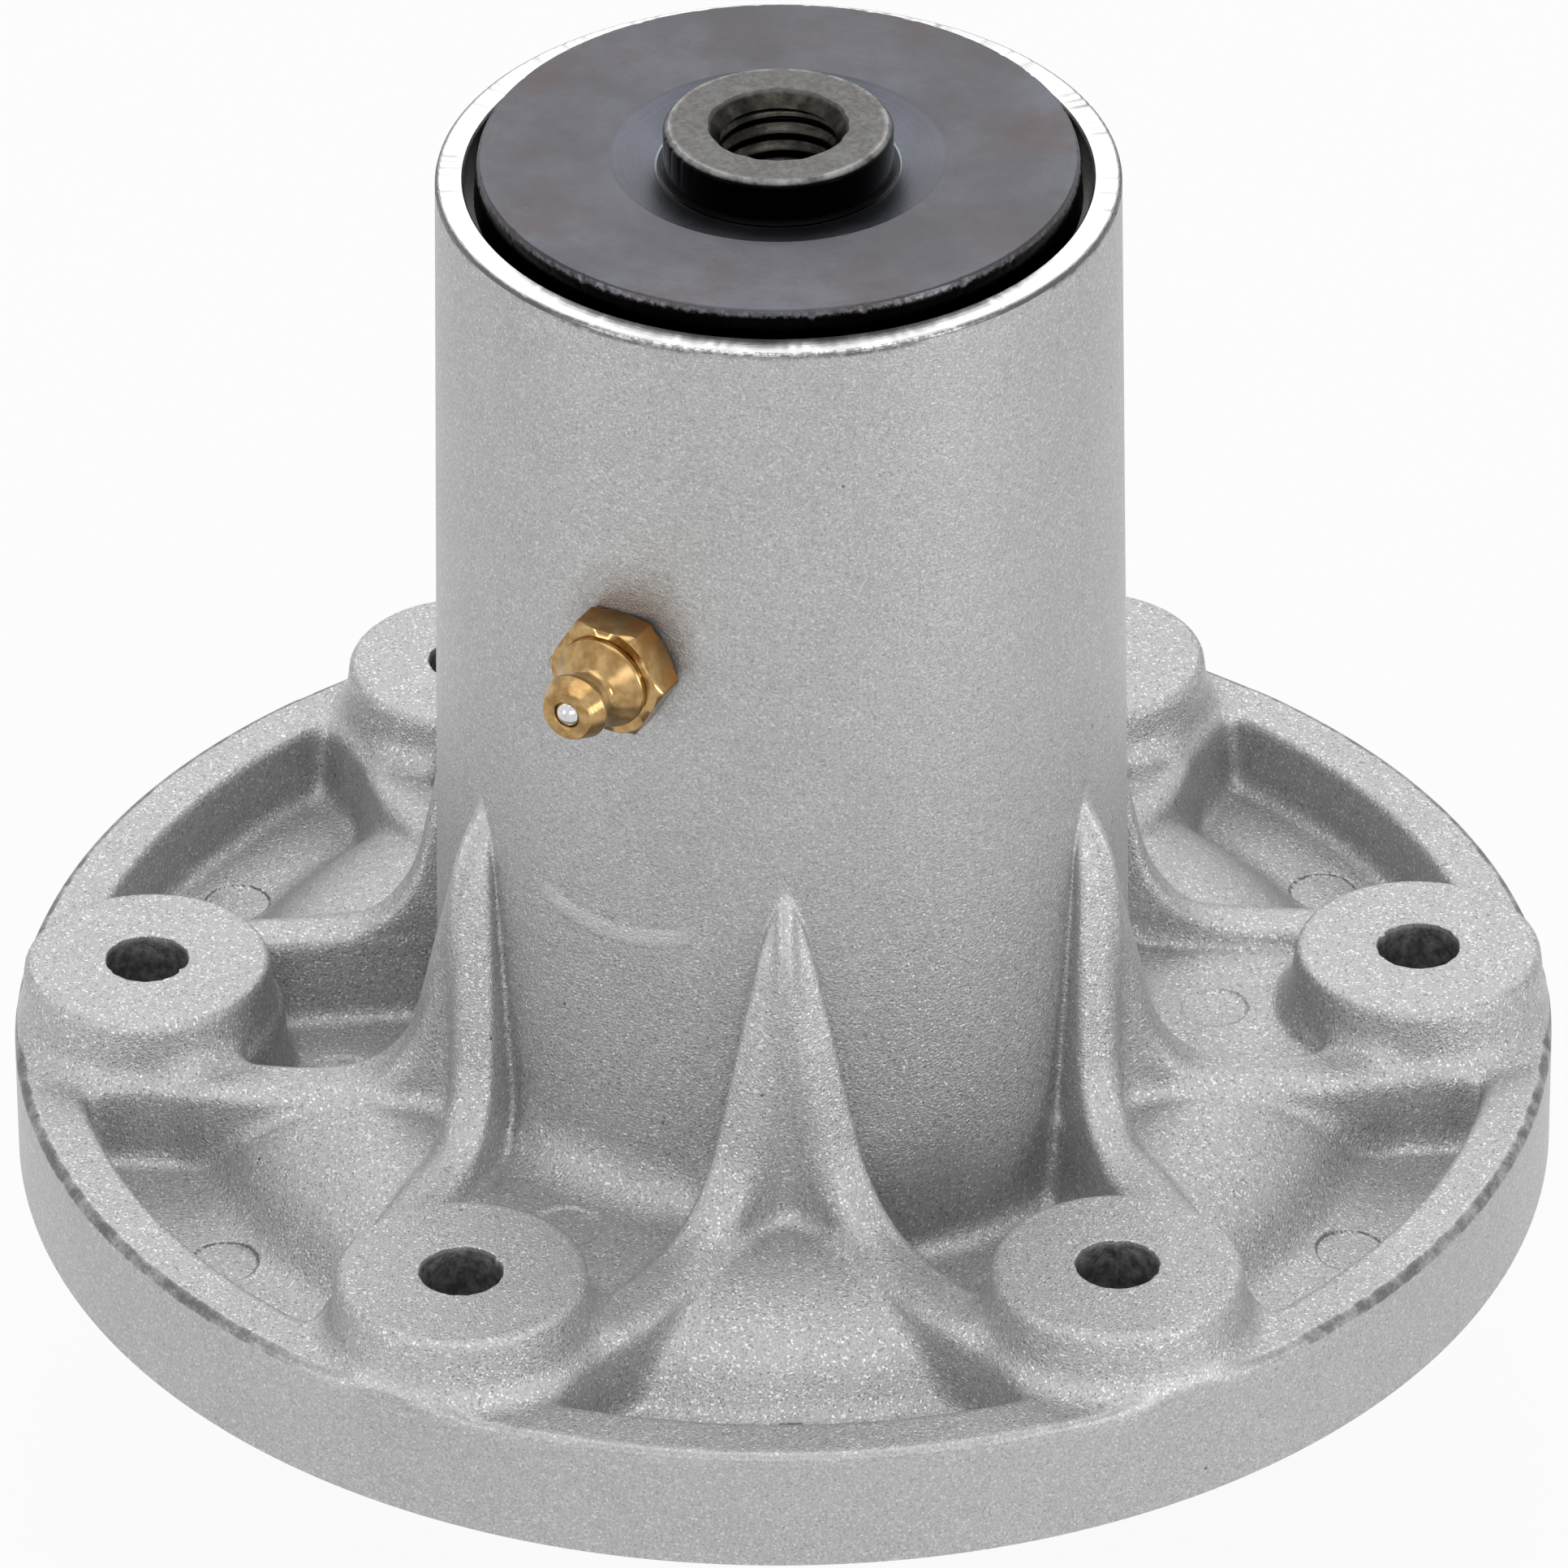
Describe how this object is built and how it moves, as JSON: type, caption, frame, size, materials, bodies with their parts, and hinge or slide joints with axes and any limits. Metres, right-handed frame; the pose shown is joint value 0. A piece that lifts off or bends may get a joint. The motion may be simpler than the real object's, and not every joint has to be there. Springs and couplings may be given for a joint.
{
  "type": "mower deck spindle",
  "caption": "Flanged mower blade spindle: ribbed cast housing with a bolt-on round flange, a greased shaft on ball bearings, a shield disc and a threaded blade hub.",
  "frame": {"origin": "centre of the flange's flat mounting face, on the shaft's axis", "axes": "+Z along the shaft towards the blade hub, -Y towards the grease nipple and one bolt boss"},
  "size_m": [0.1538, 0.1538, 0.1566],
  "materials": {
    "cast_housing": "bead-blasted die casting, matte and slightly sparkling",
    "black_oxide_steel": "black oxide over turned steel",
    "bearing_steel": "ground and polished",
    "cage_nylon": "moulded",
    "seal_rubber": "moulded",
    "plain_steel": "as turned",
    "zinc_plate": "zinc plated",
    "lock_nylon": "moulded",
    "nipple_brass": "turned",
    "bright_ball": "polished",
    "spring_steel": "drawn wire"
  },
  "bodies": {
    "housing": {"spindle_housing": "cast_housing", "blade_end_outer_ring": "bearing_steel", "pulley_end_outer_ring": "bearing_steel", "blade_end_seal": "seal_rubber", "pulley_end_seal": "seal_rubber", "nipple_body": "nipple_brass", "nipple_spring": "spring_steel"},
    "shaft": {"spindle_shaft": "black_oxide_steel", "blade_end_inner_ring": "bearing_steel", "pulley_end_inner_ring": "bearing_steel", "inner_ring_spacer": "plain_steel", "pulley_washer": "zinc_plate", "pulley_nut": "zinc_plate", "nut_lock_insert": "lock_nylon"},
    "blade_end_rolling_set": {"blade_end_balls": "bearing_steel", "blade_end_ball_cage": "cage_nylon"},
    "pulley_end_rolling_set": {"pulley_end_balls": "bearing_steel", "pulley_end_ball_cage": "cage_nylon"},
    "check_ball": {"nipple_check_ball": "bright_ball"}
  },
  "joints": [
    {"name": "spindle_spin", "type": "hinge", "parent": "housing", "child": "shaft", "pos_m": [0, 0, 0], "axis": [0, 0, 1], "continuous": true},
    {"name": "blade_end_cage_orbit", "type": "hinge", "parent": "housing", "child": "blade_end_rolling_set", "pos_m": [0, 0, 0.0945], "axis": [0, 0, 1], "continuous": true},
    {"name": "pulley_end_cage_orbit", "type": "hinge", "parent": "housing", "child": "pulley_end_rolling_set", "pos_m": [0, 0, 0.0095], "axis": [0, 0, 1], "continuous": true},
    {"name": "nipple_ball_press", "type": "slide", "parent": "housing", "child": "check_ball", "axis": [0, 1, 0], "range_m": [0, 0.0008], "stiffness_N_per_m": 300, "springref_m": -0.001, "deforming": ["nipple_spring"]}
  ],
  "couplings": [
    {"joint": "blade_end_cage_orbit", "follows": "spindle_spin", "ratio": 0.39691},
    {"joint": "pulley_end_cage_orbit", "follows": "spindle_spin", "ratio": 0.39691}
  ]
}
